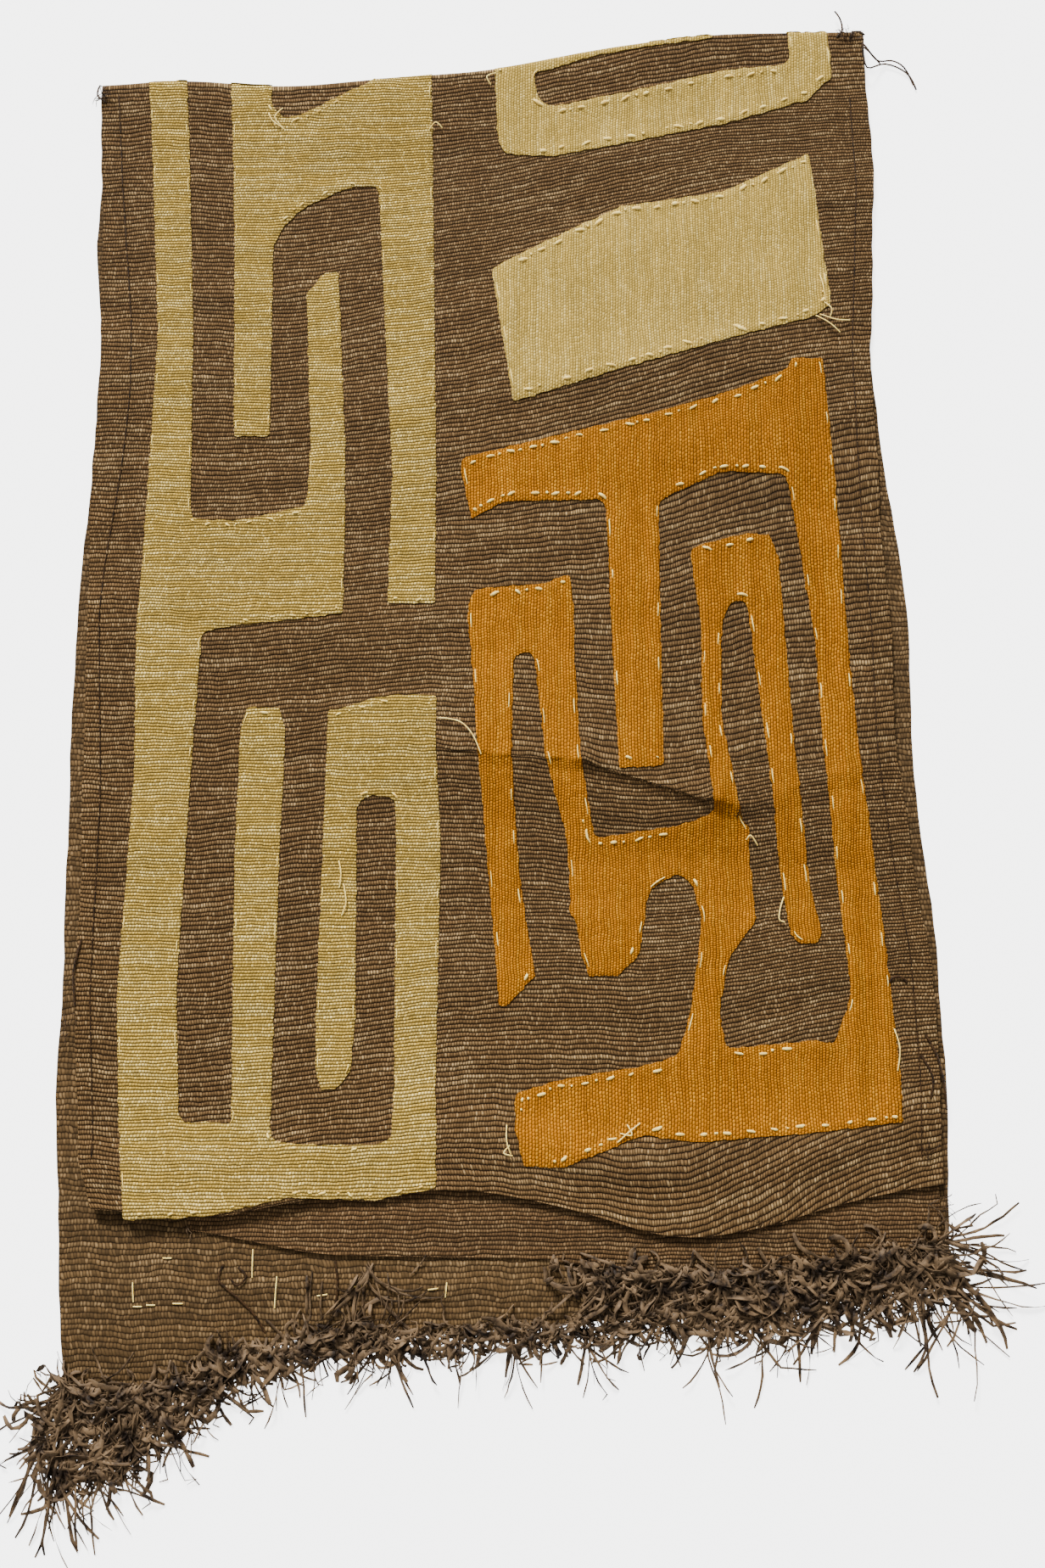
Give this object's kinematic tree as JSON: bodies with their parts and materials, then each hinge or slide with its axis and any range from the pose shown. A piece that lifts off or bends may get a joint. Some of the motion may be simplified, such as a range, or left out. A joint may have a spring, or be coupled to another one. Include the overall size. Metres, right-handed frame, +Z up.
{
  "type": "kuba raffia cloth",
  "caption": "Raffia cloth with labyrinth raffia patches sewn on and fringed ends, folded once across its width and lying flat.",
  "frame": {"origin": "middle of the under layer's flat underside, which rests on the surface", "axes": "+Z up out of the cloth, +Y along its length toward the folded edge, +X across its width"},
  "size_m": [0.7227, 1.1451, 0.0129],
  "materials": {
    "brown_raffia": "matt plain weave",
    "cream_raffia": "matt plain weave",
    "pale_raffia": "matt plain weave",
    "orange_raffia": "matt plain weave",
    "raffia_fringe": "dull dry fibre"
  },
  "bodies": {
    "root": {"cloth": "brown_raffia", "border_strip": "brown_raffia", "cream_left_patch": "cream_raffia", "cream_middle_patch": "cream_raffia", "cream_ring_patch": "pale_raffia", "cream_block_patch": "pale_raffia", "orange_patch": "orange_raffia", "under_fringe": "raffia_fringe", "upper_fringe": "raffia_fringe"}
  },
  "joints": []
}
